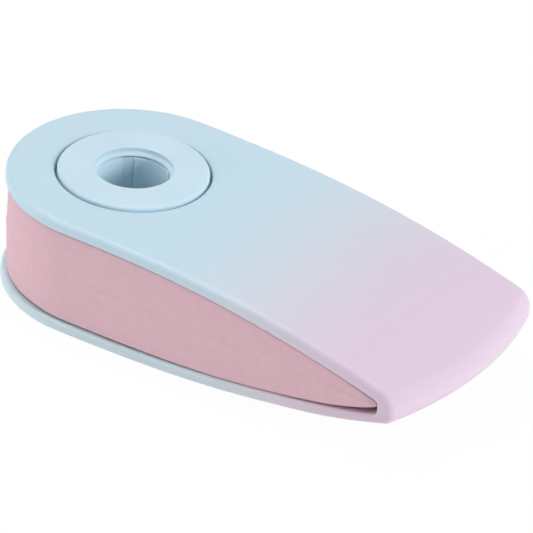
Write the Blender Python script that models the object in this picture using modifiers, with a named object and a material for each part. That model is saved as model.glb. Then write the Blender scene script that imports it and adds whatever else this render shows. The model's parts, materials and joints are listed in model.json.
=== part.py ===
"""A pocket eraser that swivels out of a protective sleeve.

The sleeve is one U-shaped moulding: two domed plates joined by a closed nose, open at both sides and at the
rear. The eraser turns between the plates on a snap-together hub whose two discs run in holes in the plates.
Every inner surface that the eraser sweeps is turned about the hub axis, so the eraser can go right round.
Lengths are in metres. Each piece is modelled about the hub axis, with the middle of the height at z = 0.
"""

import math

import bmesh
import bpy

MM = 0.001

# Sleeve seen from above: half round about the hub, parallel sides, nose arc about the hub
SLEEVE_WIDTH = 25.0 * MM
NOSE_REACH = 40.9 * MM
NOSE_CORNER_RADIUS = 1.0 * MM

# Sleeve seen from the side: flat round the hub, then domed down to the nose
SLEEVE_HEIGHT = 12.5 * MM
NOSE_THICKNESS = 2.75 * MM
FLAT_RING_WIDTH = 1.2 * MM
PLATE_WALL = 1.15 * MM
NOSE_WALL = 1.8 * MM
PLATE_EDGE_ROUND = 0.6 * MM
NOSE_ROUND = 1.2 * MM
POCKET_ROUND = 0.5 * MM

# Eraser
ERASER_INSET = 0.3 * MM
ERASER_TIP_GAP = 0.4 * MM
ERASER_CORNER_RADIUS = 1.0 * MM
ERASER_EDGE_ROUND = 0.2 * MM
ERASER_TIP_ROUND = 0.5 * MM

# Hub: a flanged disc in each plate, joined by a slotted tube that snaps into a skirt
HUB_DISC_RADIUS = 7.5 * MM
HUB_RIM_ROUND = 0.4 * MM
HUB_FLANGE_LIP = 0.8 * MM
HUB_FLANGE_THICKNESS = 0.7 * MM
HUB_BORE_RADIUS = 3.58 * MM
MOUTH_WIDENING = 0.32 * MM
MOUTH_STEP_DEPTH = 0.38 * MM
MOUTH_CONE_DEPTH = 0.35 * MM
MOUTH_LIP_ROUND = 0.12 * MM
CAP_RISE = 0.43 * MM
CAP_CROWN = 0.22 * MM
CAP_WEB_THICKNESS = 0.85 * MM
BASE_RECESS = 0.1 * MM
TUBE_WALL = 0.6 * MM
TUBE_CHAMFER = 0.2 * MM
SKIRT_WALL = 1.2 * MM
BARB_DEPTH = 0.45 * MM
BARB_HEIGHT = 0.7 * MM
SLOT_WIDTH = 1.1 * MM
SLOT_DEPTH = 6.0 * MM
SLOT_TURN = math.radians(42.0)

# Clearances
RUN_CLEARANCE = 0.2 * MM
SNAP_CLEARANCE = 0.3 * MM
BUTT_GAP = 0.2 * MM

# Facets
REAR_SEGMENTS = 28
SIDE_SEGMENTS = 11
CORNER_SEGMENTS = 4
NOSE_SEGMENTS = 12
RIM_SEGMENTS = 3
DOME_RINGS = 6
TURN_STEPS = 48
ROUND_SEGMENTS = 3
CROWN_SEGMENTS = 4

# Derived places
HALF_HEIGHT = SLEEVE_HEIGHT / 2
HUB_HOLE_RADIUS = HUB_DISC_RADIUS + RUN_CLEARANCE
FLAT_RADIUS = HUB_HOLE_RADIUS + FLAT_RING_WIDTH
POCKET_REACH = NOSE_REACH - NOSE_WALL
FLANGE_RADIUS = HUB_DISC_RADIUS + HUB_FLANGE_LIP
FLANGE_TOP = HALF_HEIGHT - PLATE_WALL - RUN_CLEARANCE
FLANGE_BOTTOM = FLANGE_TOP - HUB_FLANGE_THICKNESS
CAP_TOP = HALF_HEIGHT + CAP_RISE
CAP_WEB = CAP_TOP - CAP_WEB_THICKNESS
TUBE_RADIUS = HUB_BORE_RADIUS + TUBE_WALL
SKIRT_BORE_RADIUS = TUBE_RADIUS + SNAP_CLEARANCE
SKIRT_RADIUS = SKIRT_BORE_RADIUS + SKIRT_WALL
REAR_OVERHANG = SLEEVE_WIDTH / 2
PIVOT_X = (REAR_OVERHANG - NOSE_REACH) / 2
CUTTER_REACH = 2 * MM

PLASTIC_COLOUR = (0.55, 0.73, 0.83, 1.0)
HUB_COLOUR = (0.59, 0.77, 0.86, 1.0)
ERASER_COLOUR = (0.63, 0.41, 0.46, 1.0)


def clear_scene():
    for obj in list(bpy.data.objects):
        bpy.data.objects.remove(obj, do_unlink=True)


def new_collection(name):
    collection = bpy.data.collections.new(name)
    bpy.context.scene.collection.children.link(collection)
    return collection


def material(name, colour, roughness):
    made = bpy.data.materials.new(name)
    made.use_nodes = True
    shader = made.node_tree.nodes["Principled BSDF"]
    shader.inputs["Base Color"].default_value = colour
    shader.inputs["Roughness"].default_value = roughness
    shader.inputs["Metallic"].default_value = 0.0
    return made


def place(name, mesh, collection, pivot):
    obj = bpy.data.objects.new(name, mesh)
    collection.objects.link(obj)
    obj.parent = pivot
    return obj


def as_cutter(obj):
    obj.hide_render = True
    obj.display_type = "WIRE"
    return obj


def cut(obj, cutter):
    modifier = obj.modifiers.new(cutter.name, "BOOLEAN")
    modifier.operation = "DIFFERENCE"
    modifier.object = cutter


def arc(centre, radius, start, end, segments):
    """Points from angle start to angle end, both included."""
    angles = [start + (end - start) * i / segments for i in range(segments + 1)]
    return [(centre[0] + radius * math.cos(a), centre[1] + radius * math.sin(a)) for a in angles]


def dome_height(radius):
    """Half height of the sleeve's outside at a distance from the hub axis: flat, then one circular arc."""
    span = NOSE_REACH - FLAT_RADIUS
    drop = (SLEEVE_HEIGHT - NOSE_THICKNESS) / 2
    arc_radius = (span**2 + drop**2) / (2 * drop)
    beyond = max(0.0, radius - FLAT_RADIUS)
    return HALF_HEIGHT - (arc_radius - math.sqrt(arc_radius**2 - beyond**2))


def pocket_height(radius):
    """Half height between the plates."""
    return dome_height(radius) - PLATE_WALL


def plan_outline(half_width, reach, corner, edge_round, tip_round):
    """Outline from above as (x, y, outward normal angle, rim radius), anticlockwise from the +Y side."""
    fillet_x = math.sqrt((reach - corner) ** 2 - (half_width - corner) ** 2)
    turn = math.atan2(half_width - corner, fillet_x)
    outline = []
    for i in range(REAR_SEGMENTS):
        angle = math.pi / 2 + math.pi * i / REAR_SEGMENTS
        outline.append((half_width * math.cos(angle), half_width * math.sin(angle), angle, edge_round))
    for i in range(SIDE_SEGMENTS):
        outline.append((fillet_x * i / SIDE_SEGMENTS, -half_width, -math.pi / 2, edge_round))
    for i in range(CORNER_SEGMENTS):
        share = i / CORNER_SEGMENTS
        angle = -math.pi / 2 + (math.pi / 2 - turn) * share
        x = fillet_x + corner * math.cos(angle)
        y = corner - half_width + corner * math.sin(angle)
        outline.append((x, y, angle, edge_round + (tip_round - edge_round) * share))
    for i in range(NOSE_SEGMENTS // 2 + 1):
        angle = -turn + 2 * turn * i / NOSE_SEGMENTS
        outline.append((reach * math.cos(angle), reach * math.sin(angle), angle, tip_round))
    near_half = outline[REAR_SEGMENTS + 1 : -1]
    outline += [(x, -y, -angle, rim) for x, y, angle, rim in reversed(near_half)]
    return outline


def lofted_blank(name, outline, height_at, flat_radius, collection, pivot):
    """A domed solid: rings from the middle height up the wall, over the rounded rim and in to the flat."""
    rings = [[(x, y, 0.0) for x, y, _, _ in outline]]
    for step in range(RIM_SEGMENTS + 1):
        lean = math.pi / 2 * step / RIM_SEGMENTS
        ring = []
        for x, y, angle, rim in outline:
            inward = rim * (1 - math.cos(lean))
            px = x - inward * math.cos(angle)
            py = y - inward * math.sin(angle)
            ring.append((px, py, height_at(math.hypot(px, py)) - rim * (1 - math.sin(lean))))
        rings.append(ring)
    rim_ring = rings[-1]
    for step in range(1, DOME_RINGS + 1):
        ring = []
        for x, y, _ in rim_ring:
            edge = math.hypot(x, y)
            radius = edge + (flat_radius - edge) * step / DOME_RINGS
            ring.append((x * radius / edge, y * radius / edge, height_at(radius)))
        rings.append(ring)
    mesh = bpy.data.meshes.new(name)
    shape = bmesh.new()
    loops = []
    for ring in rings:
        corners = [shape.verts.new(point) for point in ring]
        loops.append([shape.edges.new((corners[i - 1], corners[i])) for i in range(len(corners))])
    for lower, upper in zip(loops, loops[1:]):
        bmesh.ops.bridge_loops(shape, edges=lower + upper)
    bmesh.ops.edgeloop_fill(shape, edges=loops[-1])
    bmesh.ops.recalc_face_normals(shape, faces=shape.faces[:])
    shape.to_mesh(mesh)
    shape.free()
    obj = place(name, mesh, collection, pivot)
    mirror = obj.modifiers.new("lower_half", "MIRROR")
    mirror.use_axis = (False, False, True)
    mirror.merge_threshold = 0.00001
    return obj


def turned(name, profile, collection, pivot):
    """A profile of (radius, height) turned about the hub axis: a clockwise ring, or open ends on the axis."""
    mesh = bpy.data.meshes.new(name)
    edges = [(i, i + 1) for i in range(len(profile) - 1)]
    if profile[0][0] > 0.0:
        edges.append((len(profile) - 1, 0))
    mesh.from_pydata([(radius, 0.0, z) for radius, z in profile], edges, [])
    obj = place(name, mesh, collection, pivot)
    screw = obj.modifiers.new("turn", "SCREW")
    screw.axis = "Z"
    screw.angle = 2 * math.pi
    screw.steps = TURN_STEPS
    screw.render_steps = TURN_STEPS
    screw.use_merge_vertices = True
    screw.merge_threshold = 0.00001
    return obj


def settle(obj, finish):
    """Makes the modifiers' result the object's own mesh, smooth but for its sharp edges."""
    graph = bpy.context.evaluated_depsgraph_get()
    mesh = bpy.data.meshes.new_from_object(obj.evaluated_get(graph))
    obj.modifiers.clear()
    obj.data = mesh
    mesh.name = obj.name
    mesh.shade_smooth()
    mesh.set_sharp_from_angle(angle=math.radians(35))
    mesh.materials.clear()
    mesh.materials.append(finish)


def make_sleeve(parts, cutters, pivot):
    edge_round = min(PLATE_EDGE_ROUND, 0.7 * PLATE_WALL)
    nose_round = min(NOSE_ROUND, 0.45 * NOSE_THICKNESS)
    outline = plan_outline(REAR_OVERHANG, NOSE_REACH, NOSE_CORNER_RADIUS, edge_round, nose_round)
    sleeve = lofted_blank("sleeve", outline, dome_height, FLAT_RADIUS, parts, pivot)
    above = HALF_HEIGHT + CUTTER_REACH
    upper = [(0.0, above), (HUB_HOLE_RADIUS, above), (HUB_HOLE_RADIUS, HALF_HEIGHT - PLATE_WALL)]
    pocket_round = min(POCKET_ROUND, 0.6 * pocket_height(POCKET_REACH))
    fillet_radius = POCKET_REACH - pocket_round
    for step in range(2 * DOME_RINGS):
        radius = FLAT_RADIUS + (fillet_radius - FLAT_RADIUS) * step / (2 * DOME_RINGS)
        upper.append((radius, pocket_height(radius)))
    fillet_centre = (fillet_radius, pocket_height(fillet_radius) - pocket_round)
    upper += arc(fillet_centre, pocket_round, math.pi / 2, 0.0, ROUND_SEGMENTS)
    lower = [(radius, -z) for radius, z in reversed(upper)]
    cut(sleeve, as_cutter(turned("sleeve_cavity", upper + lower, cutters, pivot)))
    return sleeve


def eraser_height(radius):
    """Half height of the eraser, which runs clear of both plates."""
    return pocket_height(radius) - RUN_CLEARANCE


def make_eraser(parts, cutters, pivot):
    reach = POCKET_REACH - ERASER_TIP_GAP
    tip_round = min(ERASER_TIP_ROUND, 0.8 * eraser_height(reach))
    edge_round = min(ERASER_EDGE_ROUND, tip_round)
    outline = plan_outline(REAR_OVERHANG - ERASER_INSET, reach, ERASER_CORNER_RADIUS, edge_round, tip_round)
    eraser = lofted_blank("eraser", outline, eraser_height, FLAT_RADIUS, parts, pivot)
    above = HALF_HEIGHT + CUTTER_REACH
    counterbore = FLANGE_RADIUS + RUN_CLEARANCE
    floor = FLANGE_BOTTOM - RUN_CLEARANCE
    bore = SKIRT_RADIUS + RUN_CLEARANCE
    upper = [(0.0, above), (counterbore, above), (counterbore, floor), (bore, floor)]
    lower = [(radius, -z) for radius, z in reversed(upper)]
    cut(eraser, as_cutter(turned("hub_clearance", upper + lower, cutters, pivot)))
    return eraser


def disc_face(top, crown):
    """A hub disc's outside: up the bore's cone and step, over the crown, out to the flange's lower edge."""
    mouth_radius = HUB_BORE_RADIUS + MOUTH_WIDENING
    lip_round = min(MOUTH_LIP_ROUND, 0.8 * MOUTH_STEP_DEPTH)
    lip_radius = mouth_radius + lip_round
    step_bottom = top - MOUTH_STEP_DEPTH
    cone_bottom = step_bottom - min(MOUTH_CONE_DEPTH, 0.9 * (CAP_WEB_THICKNESS - MOUTH_STEP_DEPTH))
    face = [(HUB_BORE_RADIUS, cone_bottom), (mouth_radius, step_bottom)]
    face += arc((lip_radius, top - lip_round), lip_round, math.pi, math.pi / 2, ROUND_SEGMENTS)
    rim_radius = HUB_DISC_RADIUS - HUB_RIM_ROUND
    for step in range(1, CROWN_SEGMENTS):
        share = step / CROWN_SEGMENTS
        face.append((lip_radius + (rim_radius - lip_radius) * share, top - crown * share**2))
    rim_centre = (rim_radius, top - crown - HUB_RIM_ROUND)
    face += arc(rim_centre, HUB_RIM_ROUND, math.pi / 2, 0.0, ROUND_SEGMENTS)
    face.append((HUB_DISC_RADIUS, FLANGE_TOP))
    face.append((FLANGE_RADIUS, FLANGE_TOP))
    face.append((FLANGE_RADIUS, FLANGE_BOTTOM))
    return face


def make_hub_cap(parts, pivot):
    skirt_end = SNAP_CLEARANCE - FLANGE_BOTTOM
    groove_radius = TUBE_RADIUS + BARB_DEPTH + SNAP_CLEARANCE
    groove_bottom = CAP_WEB - BUTT_GAP - BARB_HEIGHT - SNAP_CLEARANCE
    skirt = [
        (SKIRT_RADIUS, FLANGE_BOTTOM),
        (SKIRT_RADIUS, skirt_end),
        (SKIRT_BORE_RADIUS, skirt_end),
        (SKIRT_BORE_RADIUS, groove_bottom),
        (groove_radius, groove_bottom),
        (groove_radius, CAP_WEB),
        (HUB_BORE_RADIUS, CAP_WEB),
    ]
    return turned("hub_cap", disc_face(CAP_TOP, CAP_CROWN) + skirt, parts, pivot)


def make_hub_base(parts, cutters, pivot):
    tube_end = CAP_WEB - BUTT_GAP
    barb_radius = TUBE_RADIUS + BARB_DEPTH
    face = disc_face(HALF_HEIGHT - BASE_RECESS, 0.0)
    disc = [(radius, -z) for radius, z in reversed(face)]
    tube_chamfer = min(TUBE_CHAMFER, 0.6 * TUBE_WALL)
    tube = [
        (HUB_BORE_RADIUS, tube_end - tube_chamfer),
        (HUB_BORE_RADIUS + tube_chamfer, tube_end),
        (TUBE_RADIUS, tube_end),
        (barb_radius, tube_end - BARB_HEIGHT),
        (TUBE_RADIUS, tube_end - BARB_HEIGHT),
        (TUBE_RADIUS, -FLANGE_BOTTOM),
    ]
    base = turned("hub_base", tube + disc, parts, pivot)
    for index in range(2):
        mesh = bpy.data.meshes.new("tube_slot")
        shape = bmesh.new()
        bmesh.ops.create_cube(shape, size=1.0)
        size = (2 * (barb_radius + CUTTER_REACH), SLOT_WIDTH, SLOT_DEPTH + CUTTER_REACH)
        bmesh.ops.scale(shape, vec=size, verts=shape.verts)
        shape.to_mesh(mesh)
        shape.free()
        slot = as_cutter(place(f"tube_slot_{index + 1}", mesh, cutters, pivot))
        slot.location.z = tube_end - SLOT_DEPTH + size[2] / 2
        slot.rotation_euler.z = SLOT_TURN + index * math.pi / 2
        cut(base, slot)
    return base


def main():
    clear_scene()
    parts = new_collection("swivel_eraser")
    cutters = new_collection("cutters")
    pivot = bpy.data.objects.new("pivot", None)
    pivot.location = (PIVOT_X, 0.0, HALF_HEIGHT)
    parts.objects.link(pivot)
    plastic = material("soft_touch_plastic", PLASTIC_COLOUR, 0.5)
    hub_plastic = material("hub_plastic", HUB_COLOUR, 0.45)
    vinyl = material("eraser_vinyl", ERASER_COLOUR, 0.8)
    finishes = [
        (make_sleeve(parts, cutters, pivot), plastic),
        (make_eraser(parts, cutters, pivot), vinyl),
        (make_hub_cap(parts, pivot), hub_plastic),
        (make_hub_base(parts, cutters, pivot), hub_plastic),
    ]
    bpy.context.view_layer.update()
    for obj, finish in finishes:
        settle(obj, finish)


main()
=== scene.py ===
"""The looks of a pocket eraser that swivels in a two-plate sleeve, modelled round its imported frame.

Each piece is modelled about the hub axis, with the middle of the height at z = 0, and then moved to the hub.
Of sleeve and eraser, the quarter on the near side and above the middle is laid out, then mirrored twice.
Lengths are in metres.
"""

import json
import math

import bmesh
import bpy
from mathutils import Matrix, Vector, kdtree


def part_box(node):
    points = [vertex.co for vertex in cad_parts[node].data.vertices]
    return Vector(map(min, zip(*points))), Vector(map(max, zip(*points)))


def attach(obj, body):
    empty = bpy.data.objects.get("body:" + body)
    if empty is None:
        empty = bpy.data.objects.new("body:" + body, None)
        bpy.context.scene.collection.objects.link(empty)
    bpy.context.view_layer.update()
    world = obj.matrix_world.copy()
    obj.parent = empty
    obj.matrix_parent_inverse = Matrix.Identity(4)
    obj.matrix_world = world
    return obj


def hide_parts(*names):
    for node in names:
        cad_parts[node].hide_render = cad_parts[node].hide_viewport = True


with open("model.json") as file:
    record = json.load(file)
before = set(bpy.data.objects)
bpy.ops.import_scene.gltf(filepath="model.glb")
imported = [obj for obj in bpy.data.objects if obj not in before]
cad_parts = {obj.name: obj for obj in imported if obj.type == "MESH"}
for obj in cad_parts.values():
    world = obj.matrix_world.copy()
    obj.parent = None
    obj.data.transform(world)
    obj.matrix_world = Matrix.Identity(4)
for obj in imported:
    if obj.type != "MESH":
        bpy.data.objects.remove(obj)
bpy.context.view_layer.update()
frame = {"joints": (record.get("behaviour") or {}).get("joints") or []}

# Sleeve: one U-shaped moulding in rigid plastic, two domed plates that run together in a rounded nose. Its
# satin soft-touch paint fades from pale blue round the hub to lilac at the nose, and turns greyer below the
# middle of the height, on the lower plate. The hub turns in a hole in each plate.
MM = 0.001
WELD = 0.001 * MM

hub_axis = Vector(frame["joints"][0]["pos_m"])
sleeve_high = Vector(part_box("sleeve")[1])
half_width = sleeve_high.y
half_height = sleeve_high.z - hub_axis.z
nose_reach = sleeve_high.x - hub_axis.x
nose_thickness = 2.75 * MM
nose_round = 1.2 * MM
nose_wall = 1.95 * MM
plate_wall = 1.15 * MM
plate_edge_round = 0.48 * MM
plate_edge_steps = 8
plate_inner_edge_round = 0.34 * MM
plate_inner_edge_steps = 5
pocket_round = 0.36 * MM
hub_hole_radius = 7.75 * MM
hub_hole_edge_round = 0.15 * MM
hub_hole_edge_steps = 3
flat_radius = 8.9 * MM
pocket_reach = nose_reach - nose_wall
nose_corner_draw = 0.27 * MM
nose_corner_fill = 0.38 * MM
hub_end_gain = 0.13 * MM
hub_end_gain_start = 8.7 * MM
hub_end_gain_end = 12.0 * MM
nose_end_gain = 0.28 * MM
nose_end_gain_start = 14.0 * MM
nose_end_gain_end = 34.0 * MM
belly_middle = 33.9 * MM
belly_span = 7.0 * MM
lower_plate_belly = 0.14 * MM
pocket_floor_drop = 0.15 * MM
pocket_floor_drop_start = 32.5 * MM

rear_steps = 44
side_steps = 22
front_steps = 40
end_steps = 10
hub_rows = 10
across_columns = 22
shoulder_x = 13.0 * MM
rim_support = 0.75 * MM
sleeve_sharp_angle = math.radians(50.0)


def dome_height(radius):
    """Half height of the sleeve's outside: flat round the hub, then one circular arc down to the nose."""
    span = nose_reach - flat_radius
    drop = half_height - nose_thickness / 2
    arc_radius = (span**2 + drop**2) / (2 * drop)
    beyond = max(0.0, radius - flat_radius)
    return half_height - arc_radius + math.sqrt(arc_radius**2 - beyond**2)


def pocket_height(radius):
    """Half height between the plates."""
    return dome_height(radius) - plate_wall


def smooth_share(value, start, end):
    """0 before start, 1 past end, and an eased share between."""
    share = min(1.0, max(0.0, (value - start) / (end - start)))
    return share * share * (3.0 - 2.0 * share)


def upper_plate_gain(radius):
    """How much thicker the upper plate is inside: a little past the hub, and more towards the nose."""
    hub_end = hub_end_gain * smooth_share(radius, hub_end_gain_start, hub_end_gain_end)
    return hub_end + nose_end_gain * smooth_share(radius, nose_end_gain_start, nose_end_gain_end)


def swelling(radius, middle, span):
    """1 at a middle radius, easing to 0 a span away from it."""
    return math.cos(math.pi / 2 * min(1.0, abs(radius - middle) / span)) ** 2


def bow_nose_corner(vert, radius):
    """Draw the side corners of the nose back a little, and fill out the round below them."""
    sideways = (vert.co.y / half_width) ** 2
    below_round_middle = nose_round - nose_thickness / 2 - vert.co.z
    place = Vector((max(0.0, radius - nose_reach + nose_round), max(0.0, below_round_middle)))
    if min(place) > 0.0:
        lean = place.normalized()
        depth = min(1.0, place.length / nose_round)
        fill = nose_corner_fill * sideways * (lean.x + lean.y - 1.0) * depth
        vert.co.x += fill * lean.x
        vert.co.z -= fill * lean.y
    vert.co.x -= nose_corner_draw * sideways * smooth_share(radius, pocket_reach, nose_reach)


def fill_plates(vert, radius):
    """Thicken the upper plate inside, let the lower plate belly, and lower the pocket's floor at its end."""
    below_top = min(1.0, max(0.0, (dome_height(radius) - vert.co.z) / plate_wall))
    above_middle = min(1.0, max(0.0, vert.co.z) / (2 * (hub_end_gain + nose_end_gain)))
    below_middle = smooth_share(-vert.co.z, 0.0, nose_round)
    before_nose = 1.0 - smooth_share(radius, pocket_reach, nose_reach)
    vert.co.z -= upper_plate_gain(radius) * below_top * above_middle * before_nose
    vert.co.z -= lower_plate_belly * swelling(radius, belly_middle, belly_span) * below_middle
    above_bottom = min(1.0, max(0.0, (dome_height(radius) + vert.co.z) / plate_wall))
    towards_nose = smooth_share(radius, pocket_floor_drop_start, pocket_reach)
    vert.co.z -= pocket_floor_drop * above_bottom * towards_nose * before_nose * below_middle


def rounded_end(reach, end_round, height_at):
    """Section (radius, z) of an end: from the height of the plate round to the middle height."""
    section = []
    for step in range(end_steps + 1):
        lean = math.pi / 2 * (1 - step / end_steps)
        radius = reach - end_round * (1 - math.cos(lean))
        section.append((radius, height_at(radius) - end_round * (1 - math.sin(lean))))
    return section + [(reach, 0.0)]


def rim_chain(width, height_at, end):
    """Upper outline of a side wall, from the rear round the hub, along the side and round the end."""
    chain = []
    for step in range(rear_steps):
        angle = -math.pi + math.pi / 2 * step / rear_steps
        chain.append(Vector((width * math.cos(angle), width * math.sin(angle), height_at(width))))
    end_x = math.sqrt(end[0][0] ** 2 - width**2)
    places = [shoulder_x * step / side_steps for step in range(side_steps)]
    places += [shoulder_x + (end_x - shoulder_x) * step / front_steps for step in range(front_steps)]
    chain += [Vector((x, -width, height_at(math.hypot(x, width)))) for x in places]
    chain += [Vector((math.sqrt(radius**2 - width**2), -width, z)) for radius, z in end]
    return chain


def columns_across(width):
    """Distances of a plate's points from its middle line: the side first, with a close pair there."""
    inner = width - rim_support
    return [-width] + [-inner * (1 - step / across_columns) for step in range(across_columns + 1)]


def hub_outline(width):
    """Outline from above of the part of a plate that lies round the hub."""
    angles = [-math.pi + math.pi / 2 * step / rear_steps for step in range(rear_steps)]
    rim = [(width * math.cos(angle), width * math.sin(angle)) for angle in angles]
    rim += [(shoulder_x * step / side_steps, -width) for step in range(side_steps)]
    return rim + [(shoulder_x, y) for y in columns_across(width)]


def hub_ring(width, radius, z):
    """Points on a circle about the hub, in line with the outline's."""
    angles = [math.atan2(y, x) for x, y in hub_outline(width)]
    angles[0] = -math.pi
    return [Vector((radius * math.cos(angle), radius * math.sin(angle), z)) for angle in angles]


def lay_grid(shape, rows):
    """A grid of faces whose vertices are laid on rows of points."""
    grid = bmesh.ops.create_grid(shape, x_segments=len(rows[0]) - 1, y_segments=len(rows) - 1, size=MM)
    points = [point for row in rows for point in row]
    for vert, point in zip(grid["verts"], points):
        vert.co = point


def lay_plate(shape, width, hole_radius, height_at, end):
    """A domed plate from its hub hole to the rim, and on over its end to the middle height."""
    rows = []
    for step in range(hub_rows + 1):
        row = []
        for x, y in hub_outline(width):
            edge = math.hypot(x, y)
            inner_edge = edge - rim_support
            share = (step - 1) / (hub_rows - 1)
            radius = edge if step == 0 else inner_edge - (inner_edge - hole_radius) * share
            row.append(Vector((x * radius / edge, y * radius / edge, height_at(radius))))
        rows.append(row)
    lay_grid(shape, rows)
    rows = []
    end_x = math.sqrt(end[0][0] ** 2 - width**2)
    for step in range(front_steps + 1):
        bow = step / front_steps
        side_x = shoulder_x + (end_x - shoulder_x) * bow
        row = []
        for y in columns_across(width):
            x = side_x + bow * (math.sqrt(side_x**2 + width**2 - y**2) - side_x)
            row.append(Vector((x, y, height_at(math.hypot(x, y)))))
        rows.append(row)
    for radius, z in end[1:]:
        rows.append([Vector((math.sqrt(radius**2 - y**2), y, z)) for y in columns_across(width)])
    lay_grid(shape, rows)


def edges_along(shape, chain):
    """The edges that run along a chain of points."""
    tree = kdtree.KDTree(len(chain))
    for index, point in enumerate(chain):
        tree.insert(point, index)
    tree.balance()
    found = []
    for edge in shape.edges:
        nearest = [tree.find(vert.co) for vert in edge.verts]
        indices = [index for point, index, distance in nearest]
        distances = [distance for point, index, distance in nearest]
        if max(distances) < WELD and abs(indices[0] - indices[1]) == 1:
            found.append(edge)
    return found


def weld(shape):
    """Patches joined where they meet, with their faces all turned the same way."""
    bmesh.ops.remove_doubles(shape, verts=shape.verts, dist=WELD)
    bmesh.ops.recalc_face_normals(shape, faces=shape.faces)


def round_edges(shape, edges, size, steps):
    """Edges rounded off to a size, in some steps."""
    bmesh.ops.bevel(
        shape, geom=edges, offset=size, offset_type="OFFSET", affect="EDGES",
        segments=steps, profile=0.5, material=-1, clamp_overlap=False,
    )


def mirror_twice(shape):
    """The far side, then the lower half."""
    for axis in "YZ":
        geom = shape.verts[:] + shape.edges[:] + shape.faces[:]
        bmesh.ops.mirror(shape, geom=geom, matrix=Matrix(), merge_dist=WELD, axis=axis)
        weld(shape)


def as_piece(name, shape, finish, sharp_angle):
    """The finished mesh, moved to the hub, as an object."""
    weld(shape)
    bmesh.ops.translate(shape, verts=shape.verts, vec=hub_axis)
    mesh = bpy.data.meshes.new(name)
    shape.to_mesh(mesh)
    shape.free()
    mesh.shade_smooth()
    mesh.set_sharp_from_angle(angle=sharp_angle)
    mesh.materials.append(finish)
    piece = bpy.data.objects.new(name, mesh)
    bpy.context.scene.collection.objects.link(piece)
    return piece


shape = bmesh.new()
nose_end = rounded_end(nose_reach, nose_round, dome_height)
pocket_end = rounded_end(pocket_reach, pocket_round, pocket_height)
outer_rim = rim_chain(half_width, dome_height, nose_end)
inner_rim = rim_chain(half_width, pocket_height, pocket_end)
hole_top = hub_ring(half_width, hub_hole_radius, half_height)
hole_bottom = hub_ring(half_width, hub_hole_radius, half_height - plate_wall)
lay_plate(shape, half_width, hub_hole_radius, dome_height, nose_end)
lay_plate(shape, half_width, hub_hole_radius, pocket_height, pocket_end)
lay_grid(shape, [outer_rim, inner_rim])
lay_grid(shape, [hole_top, hole_bottom])
weld(shape)
round_edges(shape, edges_along(shape, outer_rim), plate_edge_round, plate_edge_steps)
round_edges(shape, edges_along(shape, inner_rim), plate_inner_edge_round, plate_inner_edge_steps)
round_edges(shape, edges_along(shape, hole_top), hub_hole_edge_round, hub_hole_edge_steps)
mirror_twice(shape)
for vert in shape.verts:
    radius = math.hypot(vert.co.x, vert.co.y)
    bow_nose_corner(vert, radius)
    fill_plates(vert, radius)


def grain_group():
    """Fine surface grain and a slow mottle, both 0 to 1, for any moulded or painted surface."""
    group = bpy.data.node_groups.new("moulded_grain", "ShaderNodeTree")
    group.interface.new_socket("Vector", in_out="INPUT", socket_type="NodeSocketVector")
    group.interface.new_socket("Grain Scale", in_out="INPUT", socket_type="NodeSocketFloat")
    group.interface.new_socket("Mottle Scale", in_out="INPUT", socket_type="NodeSocketFloat")
    group.interface.new_socket("Grain", in_out="OUTPUT", socket_type="NodeSocketFloat")
    group.interface.new_socket("Mottle", in_out="OUTPUT", socket_type="NodeSocketFloat")
    given = group.nodes.new("NodeGroupInput")
    made = group.nodes.new("NodeGroupOutput")
    for name, detail in (("Grain", 3.0), ("Mottle", 2.0)):
        noise = group.nodes.new("ShaderNodeTexNoise")
        noise.inputs["Detail"].default_value = detail
        group.links.new(given.outputs["Vector"], noise.inputs["Vector"])
        group.links.new(given.outputs[name + " Scale"], noise.inputs["Scale"])
        group.links.new(noise.outputs["Fac"], made.inputs[name])
    return group


moulded_grain = grain_group()
mottle_low = 0.3
mottle_high = 0.7


def linear(red, green, blue):
    """A colour written as 0 to 255 on a screen, as the shaders' linear values."""
    shares = [value / 255 for value in (red, green, blue)]
    return [part / 12.92 if part <= 0.04045 else ((part + 0.055) / 1.055) ** 2.4 for part in shares] + [1.0]


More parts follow.
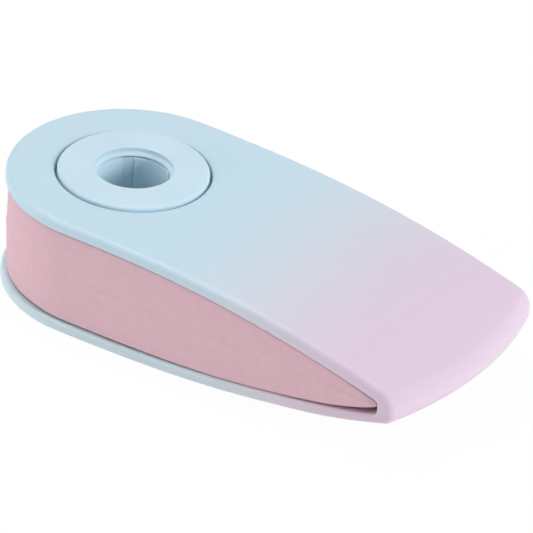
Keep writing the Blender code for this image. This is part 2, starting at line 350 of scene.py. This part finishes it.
class Finish:
    """A material with a Principled shader, Object coordinates and the shared grain on its surface."""

    def __init__(self, name, grain_scale, mottle_scale, roughness, grain_depth):
        self.material = bpy.data.materials.new(name)
        self.material.use_nodes = True
        self.nodes = self.material.node_tree.nodes
        self.links = self.material.node_tree.links
        self.shader = self.nodes["Principled BSDF"]
        self.place = self.nodes.new("ShaderNodeTexCoord")
        self.grain = self.nodes.new("ShaderNodeGroup")
        self.grain.node_tree = moulded_grain
        self.grain.inputs["Grain Scale"].default_value = grain_scale
        self.grain.inputs["Mottle Scale"].default_value = mottle_scale
        self.links.new(self.place.outputs["Object"], self.grain.inputs["Vector"])
        spread = self.ranged(self.grain.outputs["Mottle"], mottle_low, mottle_high, *roughness)
        self.links.new(spread, self.shader.inputs["Roughness"])
        bump = self.nodes.new("ShaderNodeBump")
        bump.inputs["Strength"].default_value = 1.0
        bump.inputs["Distance"].default_value = grain_depth
        self.links.new(self.grain.outputs["Grain"], bump.inputs["Height"])
        self.links.new(bump.outputs["Normal"], self.shader.inputs["Normal"])

    def ranged(self, value, from_low, from_high, to_low, to_high, interpolation="LINEAR"):
        """A value carried over from one range to another."""
        node = self.nodes.new("ShaderNodeMapRange")
        node.interpolation_type = interpolation
        self.links.new(value, node.inputs["Value"])
        node.inputs["From Min"].default_value = from_low
        node.inputs["From Max"].default_value = from_high
        node.inputs["To Min"].default_value = to_low
        node.inputs["To Max"].default_value = to_high
        return node.outputs["Result"]

    def coloured(self, value, stops):
        """A colour ramp on a value; stops are (place, colour)."""
        node = self.nodes.new("ShaderNodeValToRGB")
        ramp = node.color_ramp
        while len(ramp.elements) < len(stops):
            ramp.elements.new(0.5)
        for element, (place, colour) in zip(ramp.elements, stops):
            element.position = place
            element.color = colour
        self.links.new(value, node.inputs["Fac"])
        return node.outputs["Color"]

    def mixed(self, lower, upper, blend_type="MIX"):
        """A node that mixes two colours."""
        node = self.nodes.new("ShaderNodeMix")
        node.data_type = "RGBA"
        node.blend_type = blend_type
        self.links.new(lower, node.inputs["A"])
        self.links.new(upper, node.inputs["B"])
        return node

    def mottled(self, colour, share):
        """The colour, a little darker where the mottle is low."""
        level = self.ranged(self.grain.outputs["Mottle"], mottle_low, mottle_high, 1.0 - share, 1.0)
        tone = self.mixed(colour, level, "MULTIPLY")
        tone.inputs["Factor"].default_value = 1.0
        self.links.new(tone.outputs["Result"], self.shader.inputs["Base Color"])


upper_fade = [(0.0, linear(196, 223, 236)), (0.5, linear(210, 214, 226)), (1.0, linear(221, 201, 220))]
lower_fade = [(0.0, linear(205, 227, 234)), (0.5, linear(212, 215, 222)), (1.0, linear(218, 196, 213))]
fade_start = hub_axis.x + 9.0 * MM
fade_end = hub_axis.x + 36.0 * MM

paint = Finish(
    "sleeve_soft_touch_paint",
    grain_scale=2600.0, mottle_scale=90.0, roughness=(0.35, 0.40), grain_depth=0.0022 * MM,
)
axes = paint.nodes.new("ShaderNodeSeparateXYZ")
paint.links.new(paint.place.outputs["Object"], axes.inputs["Vector"])
fade = paint.ranged(axes.outputs["X"], fade_start, fade_end, 0.0, 1.0, "SMOOTHSTEP")
coat = paint.mixed(paint.coloured(fade, lower_fade), paint.coloured(fade, upper_fade))
height = paint.ranged(axes.outputs["Z"], hub_axis.z - nose_round, hub_axis.z, 0.0, 1.0, "SMOOTHSTEP")
paint.links.new(height, coat.inputs["Factor"])
paint.mottled(coat.outputs["Result"], share=0.015)

sleeve_shell = as_piece("sleeve_shell", shape, paint.material, sleeve_sharp_angle)
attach(sleeve_shell, "sleeve")
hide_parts("sleeve")

# Eraser: a block of dusty pink vinyl from a two-part mould, whose parting line runs round the middle of its
# side as a slim ridge. It is domed to run clear of the plates, and bored and recessed for the hub, which
# carries it round.
eraser_inset = 0.36 * MM
eraser_half_width = half_width - eraser_inset
eraser_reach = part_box("eraser")[1][0] - hub_axis.x
eraser_edge_round = 0.2 * MM
eraser_edge_steps = 4
eraser_sharp_angle = math.radians(40.0)
eraser_tip_round = 0.42 * MM
run_clearance = 0.2 * MM
eraser_sag = 0.17 * MM
sag_middle = 25.0 * MM
sag_span = 15.0 * MM
eraser_belly = 0.1 * MM
rear_draft = 0.3 * MM
rear_draft_start = 1.5 * MM
rear_draft_end = -5.0 * MM
rear_draft_bend = 4.0
tip_taper = 0.25 * MM
tip_lift = 0.05 * MM
tip_taper_start = 33.0 * MM
tip_corner_start = 34.5 * MM
tip_corner_share = 0.09
tip_corner_bend = 3
wall_inset = 0.5 * MM
wall_inset_round = 0.2 * MM
recess_radius = 8.5 * MM
recess_floor = 4.0 * MM
eraser_bore_radius = 5.9 * MM
ridge_half_width = 0.2 * MM
ridge_slope = 0.07 * MM
ridge_height = 0.026 * MM


def eraser_height(radius):
    """Half height of the eraser: clear of both plates, and thinned at the tip."""
    taper = tip_taper * max(0.0, (radius - tip_taper_start) / (eraser_reach - tip_taper_start)) ** 2
    return pocket_height(radius) - run_clearance - taper


def inset_height(radius):
    """Half height of the row of points that runs round the side wall just inside its rim."""
    return eraser_height(radius) - wall_inset


def lowered(chain, height, proud):
    """A side wall's chain brought down to a height, and out from the wall."""
    moved = []
    for point in chain:
        outward = Vector((min(point.x, 0.0), point.y, 0.0)).normalized()
        moved.append(Vector((point.x, point.y, min(point.z, height))) + proud * outward)
    return moved


shape = bmesh.new()
tip_end = rounded_end(eraser_reach, eraser_tip_round, eraser_height)
eraser_rim = rim_chain(eraser_half_width, eraser_height, tip_end)
inset_end = rounded_end(eraser_reach - wall_inset, wall_inset_round, inset_height)
inset_rim = rim_chain(eraser_half_width, inset_height, inset_end)
lay_plate(shape, eraser_half_width, recess_radius, eraser_height, tip_end)
lay_grid(shape, [
    eraser_rim,
    inset_rim,
    lowered(inset_rim, 2 * ridge_half_width, 0.0),
    lowered(inset_rim, ridge_half_width, 0.0),
    lowered(inset_rim, ridge_half_width - ridge_slope, ridge_height),
    lowered(inset_rim, 0.0, ridge_height),
])
lay_grid(shape, [
    hub_ring(eraser_half_width, recess_radius, eraser_height(recess_radius)),
    hub_ring(eraser_half_width, recess_radius, recess_floor),
    hub_ring(eraser_half_width, eraser_bore_radius, recess_floor),
    hub_ring(eraser_half_width, eraser_bore_radius, 0.0),
])
weld(shape)
round_edges(shape, edges_along(shape, eraser_rim), eraser_edge_round, eraser_edge_steps)
mirror_twice(shape)
for vert in shape.verts:
    radius = math.hypot(vert.co.x, vert.co.y)
    up = min(1.0, max(0.0, 0.5 + 0.5 * vert.co.z / eraser_height(radius)))
    sag = eraser_sag * swelling(radius, sag_middle, sag_span)
    vert.co.z -= sag + up * max(0.0, upper_plate_gain(radius) - sag)
    vert.co.z -= (1.0 - up) * eraser_belly * swelling(radius, belly_middle, belly_span)
    if radius > recess_radius:
        rear = smooth_share(-vert.co.x, -rear_draft_start, -rear_draft_end)
        wall = (radius - recess_radius) / (eraser_half_width - recess_radius)
        below_middle = max(0.0, 1.0 - 2.0 * up)
        drawn_in = rear_draft * rear * min(1.0, wall) * below_middle**rear_draft_bend
        vert.co.xy *= 1.0 - drawn_in / radius
    vert.co.z += tip_lift * smooth_share(vert.co.x, tip_taper_start, eraser_reach)
    past = max(0.0, (vert.co.x - tip_corner_start) / (eraser_reach - tip_corner_start))
    vert.co.y *= 1.0 - tip_corner_share * past**tip_corner_bend

vinyl_low = linear(224, 186, 196)
vinyl_high = linear(228, 190, 200)
vinyl = Finish(
    "eraser_pink_vinyl",
    grain_scale=2400.0, mottle_scale=1500.0, roughness=(0.70, 0.82), grain_depth=0.006 * MM,
)
vinyl_stops = [(mottle_low, vinyl_low), (mottle_high, vinyl_high)]
vinyl.mottled(vinyl.coloured(vinyl.grain.outputs["Mottle"], vinyl_stops), share=0.01)

eraser_block = as_piece("eraser_block", shape, vinyl.material, eraser_sharp_angle)
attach(eraser_block, "swivel")
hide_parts("eraser")

# Hub base: a round moulding in pale blue plastic, a flanged disc in the lower plate with a tube up through
# the eraser. Two crossed slots split the tube into four springy tongues, whose barbs snap into the cap's skirt.
hub_disc_radius = 7.5 * MM
hub_rim_round = 0.36 * MM
hub_bore_radius = 3.58 * MM
hub_mouth_radius = 3.9 * MM
hub_lip_round = 0.12 * MM
mouth_step = 0.46 * MM
mouth_depth = 0.73 * MM
flange_radius = 8.3 * MM
flange_thickness = 0.7 * MM
flange_top = half_height - plate_wall - run_clearance
flange_bottom = flange_top - flange_thickness
base_recess = 0.1 * MM
cap_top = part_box("hub_cap")[1][2] - hub_axis.z
cap_web_thickness = 0.85 * MM
cap_web = cap_top - cap_web_thickness
tube_end_gap = 0.13 * MM
tube_end = cap_web - tube_end_gap
tube_radius = 4.05 * MM
tube_chamfer = 0.2 * MM
barb_radius = 4.5 * MM
barb_height = 0.7 * MM
slot_width = 1.1 * MM
slot_depth = 6.0 * MM
slot_turns = (math.radians(42.0), math.radians(132.0))
hub_edge_round = 0.06 * MM
hub_edge_steps = 2
hub_edge_angle = math.radians(35.0)
hub_sharp_angle = math.radians(40.0)
turn_steps = 192
arc_steps = 10
crown_steps = 16


def arc(centre, radius, start, end):
    """Points of a section from angle start to angle end, both included."""
    angles = [start + (end - start) * step / arc_steps for step in range(arc_steps + 1)]
    return [(centre[0] + radius * math.cos(angle), centre[1] + radius * math.sin(angle)) for angle in angles]


def disc_section(top, crown):
    """Outside of a hub disc: up the bore's cone and step, down the crown and out to the flange's edge."""
    lip_radius = hub_mouth_radius + hub_lip_round
    rim_radius = hub_disc_radius - hub_rim_round
    section = [(hub_bore_radius, top - mouth_depth), (hub_mouth_radius, top - mouth_step)]
    section += arc((lip_radius, top - hub_lip_round), hub_lip_round, math.pi, math.pi / 2)
    for step in range(1, crown_steps):
        share = step / crown_steps
        section.append((lip_radius + (rim_radius - lip_radius) * share, top - crown * share**2))
    section += arc((rim_radius, top - crown - hub_rim_round), hub_rim_round, math.pi / 2, 0.0)
    section += [(hub_disc_radius, flange_top), (flange_radius, flange_top), (flange_radius, flange_bottom)]
    return section


def turned(section):
    """A closed section of (radius, z) turned once about the hub axis, its sharp edges lightly rounded."""
    made = bmesh.new()
    corners = [made.verts.new((radius, 0.0, z)) for radius, z in section]
    sides = [made.edges.new((corners[index - 1], corners[index])) for index in range(len(corners))]
    bmesh.ops.spin(
        made, geom=corners + sides, cent=(0.0, 0.0, 0.0), axis=(0.0, 0.0, 1.0), dvec=(0.0, 0.0, 0.0),
        angle=2 * math.pi, steps=turn_steps, use_merge=True, use_duplicate=False,
    )
    weld(made)
    sharp = [edge for edge in made.edges if edge.calc_face_angle(0.0) > hub_edge_angle]
    round_edges(made, sharp, hub_edge_round, hub_edge_steps)
    return made


def with_boxes(made, operation, turns, place, size):
    """A shape with a box cut out of it, or joined to it, at each of some turns about the hub axis."""
    mesh = bpy.data.meshes.new("turned")
    made.to_mesh(mesh)
    body = bpy.data.objects.new("turned", mesh)
    bpy.context.scene.collection.objects.link(body)
    helpers = [body]
    for turn in turns:
        box = bmesh.new()
        bmesh.ops.create_cube(box, size=1.0)
        bmesh.ops.scale(box, vec=size, verts=box.verts)
        bmesh.ops.translate(box, vec=place, verts=box.verts)
        bmesh.ops.rotate(box, cent=(0.0, 0.0, 0.0), matrix=Matrix.Rotation(turn, 3, "Z"), verts=box.verts)
        box_mesh = bpy.data.meshes.new("box")
        box.to_mesh(box_mesh)
        box.free()
        helper = bpy.data.objects.new("box", box_mesh)
        bpy.context.scene.collection.objects.link(helper)
        helpers.append(helper)
        step = body.modifiers.new("box", "BOOLEAN")
        step.operation = operation
        step.object = helper
    bpy.context.view_layer.update()
    finished = bpy.data.meshes.new_from_object(body.evaluated_get(bpy.context.evaluated_depsgraph_get()))
    made.clear()
    made.from_mesh(finished)
    spent = [helper.data for helper in helpers] + [finished]
    for helper in helpers:
        bpy.data.objects.remove(helper)
    for mesh in spent:
        bpy.data.meshes.remove(mesh)
    return made


base_disc = [(radius, -z) for radius, z in reversed(disc_section(half_height - base_recess, 0.0))]
shape = turned([
    (hub_bore_radius, tube_end - tube_chamfer),
    (hub_bore_radius + tube_chamfer, tube_end),
    (tube_radius, tube_end),
    (barb_radius, tube_end - barb_height),
    (tube_radius, tube_end - barb_height),
    (tube_radius, -flange_bottom),
] + base_disc)
slot_size = (4 * barb_radius, slot_width, 2 * slot_depth)
shape = with_boxes(shape, "DIFFERENCE", slot_turns, (0.0, 0.0, tube_end), slot_size)

hub_low = linear(201, 226, 239)
hub_high = linear(205, 230, 243)
hub_plastic = Finish(
    "hub_satin_plastic",
    grain_scale=3000.0, mottle_scale=150.0, roughness=(0.36, 0.44), grain_depth=0.0016 * MM,
)
hub_stops = [(mottle_low, hub_low), (mottle_high, hub_high)]
hub_plastic.mottled(hub_plastic.coloured(hub_plastic.grain.outputs["Mottle"], hub_stops), share=0.01)

hub_base_tube = as_piece("hub_base_tube", shape, hub_plastic.material, hub_sharp_angle)
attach(hub_base_tube, "swivel")
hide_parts("hub_base")

# Hub cap: the upper disc, in the same plastic, gently crowned, with a stepped lip round the bore. Its skirt
# takes the tube from below: keys inside the skirt fill the tube's slots, and the barbs snap into a groove at
# its top.
cap_crown = 0.09 * MM
snap_clearance = 0.1 * MM
skirt_bore_radius = tube_radius + snap_clearance
skirt_radius = 5.7 * MM
groove_radius = barb_radius + snap_clearance
groove_bottom = tube_end - barb_height - snap_clearance
skirt_end = snap_clearance - flange_bottom
key_inset = 0.04 * MM
key_face = hub_bore_radius + key_inset
key_root = groove_radius + snap_clearance
key_end_gap = 0.03 * MM
key_top = tube_end - key_end_gap
key_bottom = tube_end - slot_depth + snap_clearance
key_side_play = 0.02 * MM
key_width = slot_width - key_side_play
key_turns = slot_turns + tuple(turn + math.pi for turn in slot_turns)

shape = turned(disc_section(cap_top, cap_crown) + [
    (skirt_radius, flange_bottom),
    (skirt_radius, skirt_end),
    (skirt_bore_radius, skirt_end),
    (skirt_bore_radius, groove_bottom),
    (groove_radius, groove_bottom),
    (groove_radius, cap_web),
    (hub_bore_radius, cap_web),
])
key_place = ((key_face + key_root) / 2, 0.0, (key_bottom + key_top) / 2)
key_size = (key_root - key_face, key_width, key_top - key_bottom)
shape = with_boxes(shape, "UNION", key_turns, key_place, key_size)
hub_cap_disc = as_piece("hub_cap_disc", shape, hub_plastic.material, hub_sharp_angle)
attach(hub_cap_disc, "swivel")
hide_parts("hub_cap")

# Studio: a white table under soft white light from all round, with softboxes overhead, at both sides, in
# front and behind. The table looks white to the camera and in the gloss, and keeps a faint shadow. Only the
# high softboxes show in the gloss, so that the low ones don't glare off the plates when seen from low down.
table_reach = 1.5
table_white_share = 0.97
sky_level = 0.12
gloss_height = 0.5
# Each softbox has a name, a place, a diameter in metres and a power in watts.
softboxes = [
    ("softbox_overhead", Vector((0.0, 0.0, 0.8)), 0.6, 1.34),
    ("softbox_overhead_left", Vector((-0.34, 0.03, 0.7)), 0.5, 1.72),
    ("softbox_right", Vector((0.72, 0.03, 0.3)), 0.3, 4.0),
    ("softbox_front_left", Vector((-0.22, -0.3, 0.14)), 0.25, 0.5),
    ("softbox_left", Vector((-0.75, -0.1, 0.25)), 0.4, 0.65),
    ("softbox_back", Vector((0.1, 0.75, 0.25)), 0.5, 0.8),
]


def seen_directly(nodes, links):
    """1 for camera, glossy and transmission rays, and 0 for the rays that light the object."""
    path = nodes.new("ShaderNodeLightPath")
    first = nodes.new("ShaderNodeMath")
    first.operation = "MAXIMUM"
    links.new(path.outputs["Is Camera Ray"], first.inputs[0])
    links.new(path.outputs["Is Glossy Ray"], first.inputs[1])
    both = nodes.new("ShaderNodeMath")
    both.operation = "MAXIMUM"
    links.new(first.outputs["Value"], both.inputs[0])
    links.new(path.outputs["Is Transmission Ray"], both.inputs[1])
    return both.outputs["Value"]


table_mesh = bpy.data.meshes.new("table")
shape = bmesh.new()
bmesh.ops.create_grid(shape, x_segments=1, y_segments=1, size=table_reach)
shape.to_mesh(table_mesh)
shape.free()
table = bpy.data.objects.new("table", table_mesh)
bpy.context.scene.collection.objects.link(table)
table_white = bpy.data.materials.new("table_white")
table_white.use_nodes = True
nodes, links = table_white.node_tree.nodes, table_white.node_tree.links
nodes.remove(nodes["Principled BSDF"])
matt = nodes.new("ShaderNodeBsdfDiffuse")
matt.inputs["Color"].default_value = (1.0, 1.0, 1.0, 1.0)
glow = nodes.new("ShaderNodeEmission")
whiteness = nodes.new("ShaderNodeMath")
whiteness.operation = "MULTIPLY"
links.new(seen_directly(nodes, links), whiteness.inputs[0])
whiteness.inputs[1].default_value = table_white_share
blend = nodes.new("ShaderNodeMixShader")
links.new(whiteness.outputs["Value"], blend.inputs["Fac"])
links.new(matt.outputs["BSDF"], blend.inputs[1])
links.new(glow.outputs["Emission"], blend.inputs[2])
links.new(blend.outputs["Shader"], nodes["Material Output"].inputs["Surface"])
table_mesh.materials.append(table_white)

sky = bpy.data.worlds.new("studio")
sky.use_nodes = True
nodes, links = sky.node_tree.nodes, sky.node_tree.links
level = nodes.new("ShaderNodeMapRange")
links.new(seen_directly(nodes, links), level.inputs["Value"])
level.inputs["To Min"].default_value = sky_level
level.inputs["To Max"].default_value = 1.0
nodes["Background"].inputs["Color"].default_value = (1.0, 1.0, 1.0, 1.0)
links.new(level.outputs["Result"], nodes["Background"].inputs["Strength"])
bpy.context.scene.world = sky

for name, place, size, power in softboxes:
    lamp_data = bpy.data.lights.new(name, "AREA")
    lamp_data.shape = "DISK"
    lamp_data.size = size
    lamp_data.energy = power
    lamp = bpy.data.objects.new(name, lamp_data)
    lamp.location = place
    lamp.visible_glossy = place.z > gloss_height
    lamp.rotation_euler = (hub_axis - place).to_track_quat("-Z", "Y").to_euler()
    bpy.context.scene.collection.objects.link(lamp)

# Camera: a long lens from the front right, looking down on the top plate, tilted a little. It stands well
# back, so that the near and the far side of the object look nearly parallel.
view_azimuth = math.radians(31.3796)
view_elevation = math.radians(31.2138)
view_roll = math.radians(4.274)
view_distance = 0.81428
view_aim = Vector((0.00098, 0.00132, 0.00688))
view_lens = 564.6
view_sensor_width = 36.0

back = Vector((
    math.sin(view_azimuth) * math.cos(view_elevation),
    -math.cos(view_azimuth) * math.cos(view_elevation),
    math.sin(view_elevation),
))
level_right = Vector((math.cos(view_azimuth), math.sin(view_azimuth), 0.0))
level_up = back.cross(level_right)
right = level_right * math.cos(view_roll) + level_up * math.sin(view_roll)
camera_data = bpy.data.cameras.new("camera")
camera_data.lens = view_lens
camera_data.sensor_width = view_sensor_width
camera = bpy.data.objects.new("camera", camera_data)
camera.location = view_aim + back * view_distance
camera.rotation_euler = Matrix((right, back.cross(right), back)).transposed().to_euler()
bpy.context.scene.collection.objects.link(camera)
bpy.context.scene.camera = camera
bpy.context.scene.view_settings.view_transform = "Standard"
